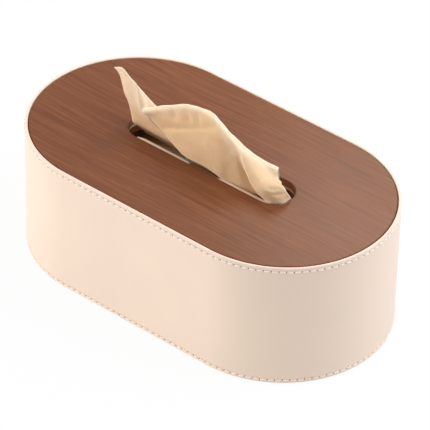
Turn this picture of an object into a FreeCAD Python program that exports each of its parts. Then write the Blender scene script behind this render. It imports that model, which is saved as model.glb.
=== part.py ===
"""Oval napkin box: a leather-wrapped wall, a drop-in wooden lid with a slot, and the napkins inside.

Millimetres. +X runs along the box, -Y is the front, +Z is up, and the origin is on the floor under the
middle of the box.
"""
import FreeCAD
import Part
import math
import os

Vector = FreeCAD.Vector

# Box
OUTER_LENGTH = 254.0
OUTER_WIDTH = 141.0
SLEEVE_HEIGHT = 87.3

# Wall, from the outside in
LEATHER = 0.9
CORE_WALL = 4.0
LINING = 0.6
GLUE_LINE = 0.1
HEM_ROUND = 0.8

# Base, from the floor up
FOOT_LIFT = 1.0
FOOT_RADIUS = 6.0
FOOT_INSET = 18.0
BASE_INSET = 0.2
BASE_COVER = 0.8
BASE_BOARD = 4.0
BASE_LINING = 0.6

# Lid, from the top down
LID_RECESS = 0.3
LID_GAP = 0.7
LID_CHAMFER = 0.3
VENEER = 0.6
LID_CORE = 4.4
EDGE_BAND = 0.6
BACKING = 1.2
PLUG = 5.0
PLUG_GAP = 0.8
LINING_DROP = 0.5

# Slot in the lid, and the soft strips along its sides, with the room from their ends to the slot's ends
SLOT_LENGTH = 124.0
SLOT_WIDTH = 26.0
STRIP = 2.6
STRIP_DROP = 0.3
STRIP_ROUND = 0.8
FRONT_STRIP_LEFT_ROOM = 14.0
FRONT_STRIP_RIGHT_ROOM = 4.0
BACK_STRIP_ROOM = 22.0

# Thread rows: one near each hem's edge, and one on each side of the back seam
THREAD_RADIUS = 0.3
THREAD_PROUD = 0.15
STITCH_PITCH = 4.5
STITCH_HOLE = 1.0
GROOVE_WIDTH = 0.9
TOP_ROW_DROP = 2.9
BOTTOM_ROW_RISE = 2.4
SEAM_GAP = 0.3
SEAM_ROW_OFFSET = 2.6

# Napkins
PACK_SIDE_ROOM = 14.8
PACK_CORNER_ROOM = 4.6
PACK_HEADROOM = 12.2
PACK_CROWN = 2.0
PACK_ROUND = 5.0
NAPKIN_THICKNESS = 0.7
NAPKIN_GAP = 0.4
FLAP_GAP = 0.4
FLAP_TUCK = 4.0
CREST_HOOK = 2.1

# Places closer than this are the same place
SAME_PLACE = 1e-6

# Heights
rim_z = FOOT_LIFT + SLEEVE_HEIGHT
lid_top_z = rim_z - LID_RECESS
board_top_z = lid_top_z - VENEER
backing_top_z = board_top_z - LID_CORE
seat_z = backing_top_z - BACKING
plug_bottom_z = seat_z - PLUG
cover_z = FOOT_LIFT + BASE_INSET
board_z = cover_z + BASE_COVER
core_z = board_z + BASE_BOARD
floor_z = core_z + BASE_LINING
pack_top_z = plug_bottom_z - PACK_HEADROOM

# Distances in from the leather's outer face
hem_depth = 2 * LEATHER
core_outer = LEATHER + GLUE_LINE
core_inner = core_outer + CORE_WALL
lining_outer = core_inner + GLUE_LINE
lining_inner = lining_outer + LINING
lid_outer = hem_depth + LID_GAP
plug_outer = lining_inner + PLUG_GAP

# Half the straight run of the oval, and where its round ends are centred
straight_half = (OUTER_LENGTH - OUTER_WIDTH) / 2
end_radius = OUTER_WIDTH / 2

# Half the pack's width, with room for a hand at its sides, and half its length, so that its corners just
# clear the round ends
inner_radius = end_radius - lining_inner
pack_half_width = inner_radius - PACK_SIDE_ROOM
corner_reach = inner_radius - PACK_CORNER_ROOM
pack_half_length = straight_half + math.sqrt(corner_reach ** 2 - pack_half_width ** 2)

UP = Vector(0, 0, 1)


def oval_face(length, width, z):
    """Flat face with two straight sides and two half-round ends."""
    half = (length - width) / 2
    radius = width / 2
    front = Part.LineSegment(Vector(-half, -radius, z), Vector(half, -radius, z))
    right = Part.Arc(Vector(half, -radius, z), Vector(half + radius, 0, z), Vector(half, radius, z))
    back = Part.LineSegment(Vector(half, radius, z), Vector(-half, radius, z))
    left = Part.Arc(Vector(-half, radius, z), Vector(-half - radius, 0, z), Vector(-half, -radius, z))
    return Part.Face(Part.Wire([curve.toShape() for curve in (front, right, back, left)]))


def oval_slab(inset, bottom, top):
    """Solid oval plate whose edge lies the given distance inside the leather's outer face."""
    face = oval_face(OUTER_LENGTH - 2 * inset, OUTER_WIDTH - 2 * inset, bottom)
    return face.extrude(UP * (top - bottom))


def slot_plug(margin, bottom, top):
    """The slot's own shape as a solid, wider than the slot by the margin all round."""
    face = oval_face(SLOT_LENGTH + 2 * margin, SLOT_WIDTH + 2 * margin, bottom)
    return face.extrude(UP * (top - bottom))


def polygon_face(points):
    return Part.Face(Part.makePolygon(list(points) + [points[0]]))


def front_profile(outline, x):
    """Face across the front wall at x, from (inset, height) corners."""
    return polygon_face([Vector(x, inset - end_radius, z) for inset, z in outline])


def wall_front(outline):
    return front_profile(outline, -straight_half).extrude(Vector(2 * straight_half, 0, 0))


def wall_back(outline):
    return wall_front(outline).mirror(Vector(0, 0, 0), Vector(0, 1, 0))


def wall_right_end(outline):
    return front_profile(outline, straight_half).revolve(Vector(straight_half, 0, 0), UP, 180)


def wall_left_end(outline):
    return wall_right_end(outline).mirror(Vector(0, 0, 0), Vector(1, 0, 0))


def wall_ring(outline):
    """The outline carried all the way round the oval as one solid."""
    front = wall_front(outline)
    others = [wall_right_end(outline), wall_back(outline), wall_left_end(outline)]
    return front.fuse(others).removeSplitter()


def block(inset_from, inset_to, bottom, top):
    return [(inset_from, bottom), (inset_to, bottom), (inset_to, top), (inset_from, top)]


# Where the thread rows run, and how deep they are pulled into the leather
top_row_z = rim_z - TOP_ROW_DROP
bottom_row_z = FOOT_LIFT + BOTTOM_ROW_RISE
groove_depth = 2 * THREAD_RADIUS - THREAD_PROUD
thread_inset = THREAD_RADIUS - THREAD_PROUD


def leather_outline():
    """Section of the hemmed leather: one ply on the wall, two plies where it is folded in."""
    half_groove = GROOVE_WIDTH / 2
    corner = HEM_ROUND
    return [
        (corner, FOOT_LIFT),
        (hem_depth - corner, FOOT_LIFT),
        (hem_depth, FOOT_LIFT + corner),
        (hem_depth, core_z),
        (LEATHER, core_z),
        (LEATHER, seat_z),
        (hem_depth, seat_z),
        (hem_depth, rim_z - corner),
        (hem_depth - corner, rim_z),
        (corner, rim_z),
        (0, rim_z - corner),
        (0, top_row_z + half_groove),
        (groove_depth, top_row_z + half_groove),
        (groove_depth, top_row_z - half_groove),
        (0, top_row_z - half_groove),
        (0, bottom_row_z + half_groove),
        (groove_depth, bottom_row_z + half_groove),
        (groove_depth, bottom_row_z - half_groove),
        (0, bottom_row_z - half_groove),
        (0, FOOT_LIFT + corner),
    ]


def seam_slot(x, width, depth, bottom, top):
    """Upright cutter in the back of the leather."""
    corner = Vector(x - width / 2, end_radius - depth, bottom)
    return Part.makeBox(width, depth + LEATHER, top - bottom, corner)


seam_bottom_z = core_z + STITCH_PITCH
seam_top_z = seat_z - STITCH_PITCH


def leather_sleeve():
    """Leather strip round the wall, its ends meeting at the middle of the back."""
    sleeve = wall_ring(leather_outline())
    cuts = [seam_slot(0, SEAM_GAP, hem_depth, FOOT_LIFT, rim_z)]
    for side in (-1, 1):
        cuts.append(seam_slot(side * SEAM_ROW_OFFSET, GROOVE_WIDTH, groove_depth, seam_bottom_z, seam_top_z))
    return sleeve.cut(cuts)


def straight_stitch(start, direction, length):
    return Part.makeCylinder(THREAD_RADIUS, length, start, direction)


def hem_row(z):
    """One thread row all round the box at height z, a separate solid for each stitch."""
    reach = end_radius - thread_inset
    straight_count = round(2 * straight_half / STITCH_PITCH)
    straight_step = 2 * straight_half / straight_count
    stitches = []
    for side in (-1, 1):
        for index in range(straight_count):
            x = -straight_half + index * straight_step + STITCH_HOLE / 2
            start = Vector(x, side * reach, z)
            stitches.append(straight_stitch(start, Vector(1, 0, 0), straight_step - STITCH_HOLE))
    end_count = round(math.pi * reach / STITCH_PITCH)
    end_step = 180 / end_count
    hole_angle = math.degrees(STITCH_HOLE / reach)
    section = Part.Circle(Vector(straight_half, -reach, z), Vector(1, 0, 0), THREAD_RADIUS).toShape()
    disc = Part.Face(Part.Wire(section))
    centre = Vector(straight_half, 0, z)
    for index in range(end_count):
        turned = disc.copy()
        turned.rotate(centre, UP, index * end_step + hole_angle / 2)
        stitch = turned.revolve(centre, UP, end_step - hole_angle)
        stitches.append(stitch)
        stitches.append(stitch.mirror(Vector(0, 0, 0), Vector(1, 0, 0)))
    return Part.makeCompound(stitches)


def seam_rows():
    """Two upright thread rows, one on each side of the back seam."""
    count = round((seam_top_z - seam_bottom_z) / STITCH_PITCH)
    step = (seam_top_z - seam_bottom_z) / count
    stitches = []
    for side in (-1, 1):
        for index in range(count):
            z = seam_bottom_z + index * step + STITCH_HOLE / 2
            start = Vector(side * SEAM_ROW_OFFSET, end_radius - thread_inset, z)
            stitches.append(straight_stitch(start, UP, step - STITCH_HOLE))
    return Part.makeCompound(stitches)


def rubber_feet():
    """Four round pads under the base."""
    reach = end_radius - FOOT_INSET
    pads = []
    for x in (-straight_half, straight_half):
        for y in (-reach, reach):
            pads.append(Part.makeCylinder(FOOT_RADIUS, cover_z, Vector(x, y, 0)))
    return Part.makeCompound(pads)


def top_rim_edges(solid, z):
    return [edge for edge in solid.Edges if all(abs(vertex.Z - z) < SAME_PLACE for vertex in edge.Vertexes)]


def lid_face_veneer():
    """Sheet of wood over the whole lid, with its arrises broken."""
    sheet = oval_slab(lid_outer, board_top_z, lid_top_z).cut(slot_plug(0, board_top_z, lid_top_z))
    return sheet.makeChamfer(LID_CHAMFER, top_rim_edges(sheet, lid_top_z))


def lid_core():
    inset = lid_outer + EDGE_BAND + GLUE_LINE
    hole = slot_plug(EDGE_BAND + GLUE_LINE, backing_top_z, board_top_z)
    return oval_slab(inset, backing_top_z, board_top_z).cut(hole)


def lid_edge_band():
    outside = oval_slab(lid_outer, backing_top_z, board_top_z)
    return outside.cut(oval_slab(lid_outer + EDGE_BAND, backing_top_z, board_top_z))


def slot_edge_band():
    outside = slot_plug(EDGE_BAND, backing_top_z, board_top_z)
    return outside.cut(slot_plug(0, backing_top_z, board_top_z))


def lid_backing():
    return oval_slab(lid_outer, seat_z, backing_top_z).cut(slot_plug(0, seat_z, backing_top_z))


def lid_plug():
    """Board under the lid that drops inside the wall and keeps the lid in place."""
    return oval_slab(plug_outer, plug_bottom_z, seat_z).cut(slot_plug(0, plug_bottom_z, seat_z))


def slot_strip(side, left_room, right_room):
    """Soft strip glued along one side of the slot, its upper edges rounded.

    Its plan is what the slot leaves over of itself when it is moved across by the strip's width.
    """
    top = lid_top_z - STRIP_DROP
    opening = slot_plug(0, plug_bottom_z, top)
    moved = opening.copy()
    moved.translate(Vector(0, -side * STRIP, 0))
    left = left_room - SLOT_LENGTH / 2
    right = SLOT_LENGTH / 2 - right_room
    corner = Vector(left, -SLOT_WIDTH / 2, plug_bottom_z)
    window = Part.makeBox(right - left, SLOT_WIDTH, top - plug_bottom_z, corner)
    strip = opening.cut(moved).common(window).Solids[0]
    return strip.makeFillet(STRIP_ROUND, top_rim_edges(strip, top))


def napkin_pack():
    """Stack of folded napkins: soft upright corners and a low crown along the middle."""
    half = pack_half_width
    edge_z = pack_top_z - PACK_CROWN
    corners = [Vector(0, -half, edge_z), Vector(0, -half, floor_z), Vector(0, half, floor_z)]
    corners.append(Vector(0, half, edge_z))
    sides = [Part.LineSegment(a, b).toShape() for a, b in zip(corners, corners[1:])]
    crown = Part.Arc(corners[3], Vector(0, 0, pack_top_z), corners[0]).toShape()
    section = Part.Face(Part.Wire(sides + [crown]))
    section.translate(Vector(-pack_half_length, 0, 0))
    stack = section.extrude(Vector(2 * pack_half_length, 0, 0))
    upright = []
    for edge in stack.Edges:
        first, last = edge.Vertexes[0].Point, edge.Vertexes[-1].Point
        if abs(first.x - last.x) < SAME_PLACE and abs(first.y - last.y) < SAME_PLACE:
            upright.append(edge)
    return stack.makeFillet(PACK_ROUND, upright)


def strip_outline(points, thickness):
    """Closed outline of a thin sheet seen edge on, from its (y, z) middle line."""
    sides = ([], [])
    last = len(points) - 1
    for index, (y, z) in enumerate(points):
        before = points[max(index - 1, 0)]
        after = points[min(index + 1, last)]
        bisector = [0.0, 0.0]
        for (y0, z0), (y1, z1) in ((before, points[index]), (points[index], after)):
            run = math.hypot(y1 - y0, z1 - z0)
            if run > 0:
                bisector[0] -= (z1 - z0) / run
                bisector[1] += (y1 - y0) / run
        scale = thickness / (bisector[0] ** 2 + bisector[1] ** 2)
        if index in (0, last):
            scale = thickness / 2
        sides[0].append((y + bisector[0] * scale, z + bisector[1] * scale))
        sides[1].append((y - bisector[0] * scale, z - bisector[1] * scale))
    return sides[0] + sides[1][::-1]


def napkin_section(x, rear_y, low, knee, crest, middle, hem):
    """One section of the drawn napkin: up out of the slot, over the crest and down in front.

    low and knee are heights on the rear leg, crest, middle and hem are (y, z) places on the fold.
    """
    fold = 2 * NAPKIN_THICKNESS
    back = (crest[0], crest[1])
    front = (crest[0] - fold, crest[1] - NAPKIN_THICKNESS / 2)
    line = [(rear_y, low), (rear_y, knee), back, front, middle, hem]
    outline = strip_outline(line, NAPKIN_THICKNESS)
    return Part.makePolygon([Vector(x, y, z) for y, z in outline + outline[:1]])


def pulled_napkin():
    """Napkin drawn up through the slot: a tall corner at the left, a crest with its front flap hanging over
    the slot's near side, and a second fall over the slot's right end.

    Heights are above the lid. The sheet's lower edge stops just over the pack.
    """
    left = -SLOT_LENGTH / 2
    right = SLOT_LENGTH / 2
    tail = pack_top_z + NAPKIN_GAP - lid_top_z
    lip = FLAP_GAP + NAPKIN_THICKNESS / 2
    tuck = -FLAP_TUCK
    near = STRIP - SLOT_WIDTH / 2
    rim = -SLOT_WIDTH / 2
    # x, rear leg's y, its low and knee heights, then crest, middle and hem as (y, height)
    stations = [
        (left - 13.0, -3.0, 32.4, 33.0, (-3.0, 34.4), (-3.0 - CREST_HOOK, 33.6), (-3.0 - CREST_HOOK, 32.9)),
        (left - 7.0, -3.0, 26.0, 29.0, (-3.2, 36.4), (-3.2 - CREST_HOOK, 35.4), (-3.2 - CREST_HOOK, 34.2)),
        (left - 1.5, -3.0, 12.5, 18.0, (-3.6, 31.8), (-3.6 - CREST_HOOK, 30.8), (-3.6 - CREST_HOOK, 29.6)),
        (left + 1.6, -3.0, 2.4, 9.0, (-4.0, 29.6), (-4.0 - CREST_HOOK, 28.6), (-4.0 - CREST_HOOK, 27.4)),
        (left + 3.4, -3.0, tail, 0.0, (-4.0, 28.5), (-4.0 - CREST_HOOK, 27.5), (-4.0 - CREST_HOOK, 26.3)),
        (left + 11.0, -2.8, tail, 0.0, (-3.2, 23.3), (-3.2 - CREST_HOOK, 22.0), (-3.4 - CREST_HOOK, 19.5)),
        (left + 18.0, -2.5, tail, 0.0, (-2.8, 20.3), (-5.0, 16.0), (-5.8, 12.3)),
        (left + 35.0, -2.0, tail, 0.0, (-2.4, 28.6), (-6.4, 18.0), (-8.4, 7.6)),
        (left + 50.0, -1.5, tail, 0.0, (-2.4, 35.3), (-7.2, 18.0), (near - 0.6, lip + 1.4)),
        (left + 64.0, -1.0, tail, 0.0, (-2.4, 36.8), (-8.0, 18.0), (near - 0.4, lip + 1.2)),
        (left + 78.0, -0.5, tail, 0.0, (-2.0, 29.6), (-8.2, 15.0), (rim + 1.0, lip + 1.2)),
        (left + 82.0, -0.2, tail, 0.0, (-1.6, 27.0), (-7.2, 14.0), (near + 0.9, lip)),
        (left + 86.0, 0.0, tail, 0.0, (-1.2, 24.5), (-6.4, 13.0), (near + 1.2, tuck)),
        (right - 31.0, 0.4, tail, 0.0, (-0.6, 21.5), (-7.6, 11.0), (near + 1.4, tuck)),
        (right - 19.0, 1.0, tail, 0.0, (0.4, 18.8), (-7.0, 8.0), (near + 2.0, tuck)),
        (right - 15.0, 1.2, tail, 0.0, (1.0, 18.2), (-7.0, 8.0), (near + 1.4, lip)),
        (right - 10.0, 1.6, tail, 0.0, (1.8, 17.2), (-6.6, 8.0), (near - 0.8, lip)),
        (right - 4.0, 2.0, tail, 0.0, (2.0, 5.4), (-3.6, 3.4), (near + 1.8, lip)),
    ]
    sections = []
    for x, rear_y, low, knee, crest, middle, hem in stations:
        places = [(y, lid_top_z + height) for y, height in (crest, middle, hem)]
        sections.append(napkin_section(x, rear_y, lid_top_z + low, lid_top_z + knee, *places))
    return Part.makeLoft(sections, True, True)


core_outline = block(core_outer, core_inner, core_z, seat_z)
lining_outline = block(lining_outer, lining_inner, floor_z, seat_z - LINING_DROP)

parts = {
    "leather_sleeve": leather_sleeve(),
    "core_front_panel": wall_front(core_outline),
    "core_back_panel": wall_back(core_outline),
    "core_left_end": wall_left_end(core_outline),
    "core_right_end": wall_right_end(core_outline),
    "wall_lining": wall_ring(lining_outline),
    "base_board": oval_slab(hem_depth + GLUE_LINE, board_z, core_z),
    "base_lining": oval_slab(lining_outer, core_z, floor_z),
    "base_cover": oval_slab(hem_depth + GLUE_LINE, cover_z, board_z),
    "rubber_feet": rubber_feet(),
    "top_stitching": hem_row(top_row_z),
    "bottom_stitching": hem_row(bottom_row_z),
    "seam_stitching": seam_rows(),
    "napkin_pack": napkin_pack(),
    "lid_face_veneer": lid_face_veneer(),
    "lid_core": lid_core(),
    "lid_edge_band": lid_edge_band(),
    "slot_edge_band": slot_edge_band(),
    "lid_backing": lid_backing(),
    "lid_plug": lid_plug(),
    "slot_strip_front": slot_strip(-1, FRONT_STRIP_LEFT_ROOM, FRONT_STRIP_RIGHT_ROOM),
    "slot_strip_back": slot_strip(1, BACK_STRIP_ROOM, BACK_STRIP_ROOM),
    "pulled_napkin": pulled_napkin(),
}

os.makedirs("parts", exist_ok=True)
for name, shape in parts.items():
    shape.exportStep("parts/" + name + ".step")
    print(name, len(shape.Solids), shape.isValid(), round(shape.Volume, 1))
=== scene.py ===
"""Oval napkin box: a leather-wrapped wall, a wooden lid with a slot, and a napkin drawn up through it."""
import math
import random

import bmesh
import bpy
from mathutils import Matrix, Vector, noise


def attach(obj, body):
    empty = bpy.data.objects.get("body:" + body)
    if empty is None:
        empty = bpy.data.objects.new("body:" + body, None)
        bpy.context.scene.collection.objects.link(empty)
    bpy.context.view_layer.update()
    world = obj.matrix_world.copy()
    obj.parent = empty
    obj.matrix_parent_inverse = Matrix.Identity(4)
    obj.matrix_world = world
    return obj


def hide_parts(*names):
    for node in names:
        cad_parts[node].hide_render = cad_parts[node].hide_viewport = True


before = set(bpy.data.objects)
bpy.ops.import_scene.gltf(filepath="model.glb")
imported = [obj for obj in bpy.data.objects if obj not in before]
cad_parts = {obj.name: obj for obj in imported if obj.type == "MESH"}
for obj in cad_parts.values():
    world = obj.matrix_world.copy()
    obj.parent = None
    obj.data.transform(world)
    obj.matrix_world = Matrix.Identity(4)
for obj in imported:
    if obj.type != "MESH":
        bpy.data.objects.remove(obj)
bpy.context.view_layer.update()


# Wall boards. Raw fibreboard, two straight panels and two halves bent round the ends, glued edge to edge
# into the stiff oval that everything else is fixed to. The lid rests on their top edge.
def shade(red, green, blue):
    """A colour written as on a screen, 0 to 255, turned into the shader's own scale."""
    values = [value / 255 for value in (red, green, blue)]
    linear = [v / 12.92 if v <= 0.04045 else ((v + 0.055) / 1.055) ** 2.4 for v in values]
    return (*linear, 1.0)


class Finish:
    """One material, with short ways to put its nodes together."""

    def __init__(self, name, specular=0.5):
        self.material = bpy.data.materials.new(name)
        self.material.use_nodes = True
        self.tree = self.material.node_tree
        self.shader = self.tree.nodes["Principled BSDF"]
        self.shader.inputs["Specular IOR Level"].default_value = specular
        self.place = self.add("ShaderNodeTexCoord").outputs["Object"]

    def add(self, kind, inputs=None, **settings):
        made = self.tree.nodes.new(kind)
        for name, value in settings.items():
            setattr(made, name, value)
        for name, value in (inputs or {}).items():
            self.feed(made.inputs[name], value)
        return made

    def feed(self, socket, value):
        """Links a node's output to a socket, or sets the socket to a plain value."""
        if isinstance(value, bpy.types.NodeSocket):
            self.tree.links.new(value, socket)
        else:
            socket.default_value = value

    def stretch(self, x, y, z, place=None):
        """The piece's coordinates at so many pattern cells to the metre."""
        inputs = {"Vector": place or self.place, "Scale": (x, y, z)}
        return self.add("ShaderNodeMapping", inputs).outputs["Vector"]

    def cloud(self, place, detail=3.0, roughness=0.5, distortion=0.0):
        inputs = {"Vector": place, "Scale": 1.0, "Detail": detail, "Roughness": roughness,
                  "Distortion": distortion}
        return self.add("ShaderNodeTexNoise", inputs).outputs["Fac"]

    def cells(self, place):
        made = self.add("ShaderNodeTexVoronoi", {"Vector": place, "Scale": 1.0}, feature="SMOOTH_F1")
        return made.outputs["Distance"]

    def ramp(self, factor, stops):
        """Colours along a factor, from (place, colour) stops."""
        made = self.add("ShaderNodeValToRGB", {"Fac": factor})
        bar = made.color_ramp.elements
        while len(bar) < len(stops):
            bar.new(0.5)
        for element, (place, colour) in zip(bar, stops):
            element.position = place
            element.color = colour
        return made.outputs["Color"]

    def spread(self, factor, low, high, start=0.0, end=1.0):
        inputs = {"Value": factor, "From Min": start, "From Max": end, "To Min": low, "To Max": high}
        return self.add("ShaderNodeMapRange", inputs).outputs["Result"]

    def blend(self, factor, first, second, way="MIX"):
        made = self.add("ShaderNodeMix", data_type="RGBA", blend_type=way)
        for socket, value in ((0, factor), (6, first), (7, second)):
            self.feed(made.inputs[socket], value)
        return made.outputs[2]

    def raise_by(self, height, depth, over=None):
        """Bump of the given depth in metres, laid over another one."""
        inputs = {"Height": height, "Distance": depth, "Strength": 1.0}
        if over:
            inputs["Normal"] = over
        return self.add("ShaderNodeBump", inputs).outputs["Normal"]

    def set(self, **sockets):
        """Feeds the shader's sockets, named in small letters, and gives the finished material."""
        for name, value in sockets.items():
            self.feed(self.shader.inputs[name.replace("_", " ").title()], value)
        return self.material


def coat(node, material):
    """Gives a piece one material all over."""
    node.data.materials.clear()
    node.data.materials.append(material)


def fibreboard():
    finish = Finish("raw_fibreboard", specular=0.25)
    chips = finish.cloud(finish.stretch(900, 900, 900), detail=6.0, roughness=0.7)
    blotch = finish.cloud(finish.stretch(40, 40, 40), detail=2.0)
    colour = finish.ramp(chips, [(0.3, shade(128, 96, 66)), (0.55, shade(158, 124, 90)),
                                 (0.75, shade(182, 150, 114))])
    colour = finish.blend(finish.spread(blotch, 0.0, 0.3, 0.4, 0.7), colour, shade(140, 106, 74))
    return finish.set(base_color=colour, roughness=finish.spread(chips, 0.75, 0.9),
                      normal=finish.raise_by(chips, 0.00012))


board_finish = fibreboard()
BOARDS = ("core_front_panel", "core_back_panel", "core_left_end", "core_right_end")
for name in BOARDS:
    coat(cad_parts[name], board_finish)

# Base board. The floor of the box, cut to the oval from the same fibreboard and glued under the wall boards.
# Felt covers it inside, and suede cloth underneath.
coat(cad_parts["base_board"], board_finish)

# Felt lining. One strip of thin brown felt glued round the inside of the wall, its ends meeting at the middle
# of the back, and an oval of the same felt on the floor.
MM = 0.001
STRAIGHT = 56.5 * MM
END_RADIUS = 70.5 * MM
ROW_STITCHES = 148
STRAIGHT_STITCHES = 25
END_STITCHES = 49
STITCH = 2 * STRAIGHT / STRAIGHT_STITCHES


def wall_station(count):
    """A place round the wall, counted in hem stitches from the middle of the back by way of the left end.

    Gives the point that the wall goes round there, and the way out from it.
    """
    half = STRAIGHT_STITCHES / 2
    if count < half:
        return Vector((-STRAIGHT * count / half, 0, 0)), Vector((0, 1, 0))
    count -= half
    if count < END_STITCHES:
        turn = math.pi * count / END_STITCHES
        return Vector((-STRAIGHT, 0, 0)), Vector((-math.sin(turn), math.cos(turn), 0))
    count -= END_STITCHES
    if count < STRAIGHT_STITCHES:
        return Vector((STRAIGHT * (count / half - 1), 0, 0)), Vector((0, -1, 0))
    count -= STRAIGHT_STITCHES
    if count < END_STITCHES:
        turn = math.pi * count / END_STITCHES
        return Vector((STRAIGHT, 0, 0)), Vector((math.sin(turn), -math.cos(turn), 0))
    return Vector((STRAIGHT * (1 - (count - END_STITCHES) / half), 0, 0)), Vector((0, 1, 0))


def wall_point(count, inset, height):
    middle, out = wall_station(count)
    return middle + out * (END_RADIUS - inset) + Vector((0, 0, height))


def only(piece):
    """Leaves one piece selected and active, in object mode."""
    if bpy.context.object and bpy.context.object.mode != "OBJECT":
        bpy.ops.object.mode_set(mode="OBJECT")
    bpy.ops.object.select_all(action="DESELECT")
    piece.select_set(True)
    bpy.context.view_layer.objects.active = piece
    return piece


def sewn_grid(name, columns, ring=False):
    """A piece through rows of points, one list for each column. ring joins each column's ends."""
    rows = len(columns[0])
    points = [tuple(point) for column in columns for point in column]
    faces = []
    for left in range(len(columns) - 1):
        for row in range(rows if ring else rows - 1):
            here, above = left * rows + row, left * rows + (row + 1) % rows
            faces.append((here, here + rows, above + rows, above))
    mesh = bpy.data.meshes.new(name)
    mesh.from_pydata(points, [], faces)
    piece = bpy.data.objects.new(name, mesh)
    bpy.context.collection.objects.link(piece)
    return only(piece)


def apply_modifier(piece, kind, **settings):
    made = piece.modifiers.new(kind.title(), kind)
    for name, value in settings.items():
        setattr(made, name, value)
    bpy.ops.object.modifier_apply(modifier=made.name)


def smooth(piece, degrees=40):
    only(piece)
    bpy.ops.object.shade_smooth_by_angle(angle=math.radians(degrees))


def felt():
    finish = Finish("brown_felt", specular=0.15)
    fibre = finish.cloud(finish.stretch(2600, 2600, 2600), detail=5.0, roughness=0.75, distortion=1.2)
    mottle = finish.cloud(finish.stretch(220, 220, 220), detail=3.0)
    colour = finish.ramp(fibre, [(0.3, shade(92, 70, 54)), (0.6, shade(122, 96, 76)),
                                 (0.8, shade(150, 122, 98))])
    colour = finish.blend(finish.spread(mottle, 0.0, 0.35, 0.4, 0.7), colour, shade(104, 80, 62))
    return finish.set(base_color=colour, roughness=0.95, sheen_weight=0.3,
                      normal=finish.raise_by(fibre, 0.0002))


felt_finish = felt()
FELT, FELT_EDGE = 0.6 * MM, 0.15 * MM
LINING_INSET = 5.1 * MM
LINING_BOTTOM, LINING_TOP = 6.6 * MM, 81.3 * MM
LINING_ROWS = 10
LINING_JOINT = 0.04
CUT_WAVER, WAVES = 0.12 * MM, 160
lining_columns = []
for step in range(2 * ROW_STITCHES + 1):
    count = min(max(step / 2, LINING_JOINT), ROW_STITCHES - LINING_JOINT)
    top = LINING_TOP + CUT_WAVER * noise.noise(wall_point(count, 0, 0) * WAVES)
    heights = [LINING_BOTTOM + (top - LINING_BOTTOM) * row / LINING_ROWS for row in range(LINING_ROWS + 1)]
    lining_columns.append([wall_point(count, LINING_INSET, height) for height in heights])
wall_felt = sewn_grid("wall_felt", lining_columns)
apply_modifier(wall_felt, "SOLIDIFY", thickness=FELT, offset=1.0)
apply_modifier(wall_felt, "BEVEL", width=FELT_EDGE, segments=2, limit_method="ANGLE")
smooth(wall_felt)
coat(wall_felt, felt_finish)
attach(wall_felt, "box")
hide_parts("wall_lining")

OVAL_POINTS = 192


def pick(choose, kind="verts"):
    """In edit mode, selects the vertices, edges or faces that a test on them says yes to."""
    bpy.ops.mesh.select_mode(type={"verts": "VERT", "edges": "EDGE", "faces": "FACE"}[kind])
    bpy.ops.mesh.select_all(action="DESELECT")
    mesh = bmesh.from_edit_mesh(bpy.context.object.data)
    for element in getattr(mesh, kind):
        element.select_set(choose(element))
    mesh.select_flush_mode()
    bmesh.update_edit_mesh(bpy.context.object.data)


def oval_line(radius, straight, height):
    """Adds a circle and pulls its halves apart into an oval outline."""
    bpy.ops.object.select_all(action="DESELECT")
    bpy.ops.mesh.primitive_circle_add(vertices=OVAL_POINTS, radius=radius, location=(0, 0, height),
                                      rotation=(0, 0, math.pi / OVAL_POINTS))
    bpy.ops.object.transform_apply(location=True, rotation=True)
    bpy.ops.object.mode_set(mode="EDIT")
    for way in (-1, 1):
        pick(lambda vertex: vertex.co.x * way > 0)
        bpy.ops.transform.translate(value=(way * straight, 0, 0))
    bpy.ops.object.mode_set(mode="OBJECT")
    return bpy.context.object


def oval_sheet(name, inset, bottom, top, soft_edge):
    """An oval of sheet goods whose edge lies so far inside the leather's outer face."""
    oval_line(END_RADIUS - inset, STRAIGHT, bottom)
    bpy.ops.object.mode_set(mode="EDIT")
    bpy.ops.mesh.select_all(action="SELECT")
    bpy.ops.mesh.edge_face_add()
    bpy.ops.mesh.extrude_region_move(TRANSFORM_OT_translate={"value": (0, 0, top - bottom)})
    bpy.ops.mesh.select_all(action="SELECT")
    bpy.ops.mesh.normals_make_consistent(inside=False)
    pick(lambda edge: len({round(vertex.co.z, 6) for vertex in edge.verts}) == 1, "edges")
    bpy.ops.mesh.bevel(offset=soft_edge, segments=3, affect="EDGES")
    bpy.ops.object.mode_set(mode="OBJECT")
    piece = bpy.context.object
    piece.name = piece.data.name = name
    smooth(piece)
    return piece


FLOOR_BOTTOM = 6.0 * MM
floor_felt = oval_sheet("floor_felt", LINING_INSET, FLOOR_BOTTOM, LINING_BOTTOM, FELT_EDGE)
coat(floor_felt, felt_finish)
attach(floor_felt, "box")
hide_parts("base_lining")


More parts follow.
